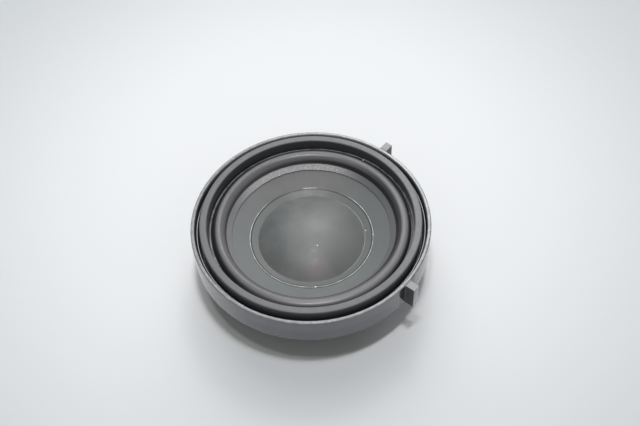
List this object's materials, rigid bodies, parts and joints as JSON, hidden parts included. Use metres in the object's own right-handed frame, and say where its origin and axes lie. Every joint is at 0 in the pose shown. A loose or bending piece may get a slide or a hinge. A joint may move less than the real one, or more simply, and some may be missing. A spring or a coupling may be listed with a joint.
{
  "type": "dashboard speaker",
  "caption": "Slim round dashboard speaker: rubber surround, domed dust cap and cone in a moulded basket, held in a ring with two lugs.",
  "frame": {"origin": "on the speaker's axis at the back face of the magnet cup, where it stands", "axes": "+Z along the axis towards the front, the terminals on the +Y side, the two lugs 45 degrees either side of +X"},
  "size_m": [0.09, 0.09, 0.0275],
  "materials": {
    "ring_plastic": "satin black moulded plastic, lightly worn on the lip",
    "basket_plastic": "fine textured black glass-filled plastic",
    "seal_foam": "matt black closed-cell foam",
    "screw_steel": "zinc plated",
    "gasket_rubber": "dense black foam rubber with a soft sheen",
    "surround_rubber": "smooth black rubber with a satin sheen",
    "cone_plastic": "matt mineral-filled cone, dark grey",
    "cap_plastic": "matt dark grey dome with a faint sheen",
    "former_film": "amber film",
    "collar_paper": "brown kraft paper",
    "copper_wire": "enamelled copper",
    "eyelet_brass": "plain brass",
    "spider_cloth": "resin-dipped woven cloth, yellow-brown",
    "cup_steel": "zinc plated, turned",
    "magnet_nickel": "nickel plated",
    "board_paper": "brown paper laminate",
    "tab_tin": "tin plated brass",
    "solder": "bright solder",
    "lead_braid": "braided copper tinsel"
  },
  "bodies": {
    "frame": {"mounting_ring": "ring_plastic", "basket": "basket_plastic", "basket_seal": "seal_foam", "basket_screws": "screw_steel", "front_gasket": "gasket_rubber", "magnet_cup": "cup_steel", "magnet": "magnet_nickel", "pole_plate": "cup_steel", "terminal_board": "board_paper", "positive_tab": "tab_tin", "negative_tab": "tab_tin", "tab_rivets": "screw_steel", "board_rivet": "screw_steel", "solder_joints": "solder"},
    "diaphragm": {"cone": "cone_plastic", "dust_cap": "cap_plastic", "coil_former": "former_film", "coil_collar": "collar_paper", "voice_coil": "copper_wire", "coil_leads": "copper_wire", "cone_eyelets": "eyelet_brass", "surround": "surround_rubber", "spider": "spider_cloth", "positive_lead": "lead_braid", "negative_lead": "lead_braid"}
  },
  "joints": [
    {"name": "cone_stroke", "type": "slide", "parent": "frame", "child": "diaphragm", "axis": [0, 0, 1], "range_m": [-0.002, 0.002], "stiffness_N_per_m": 1000, "deforming": ["surround", "spider", "positive_lead", "negative_lead"]}
  ]
}
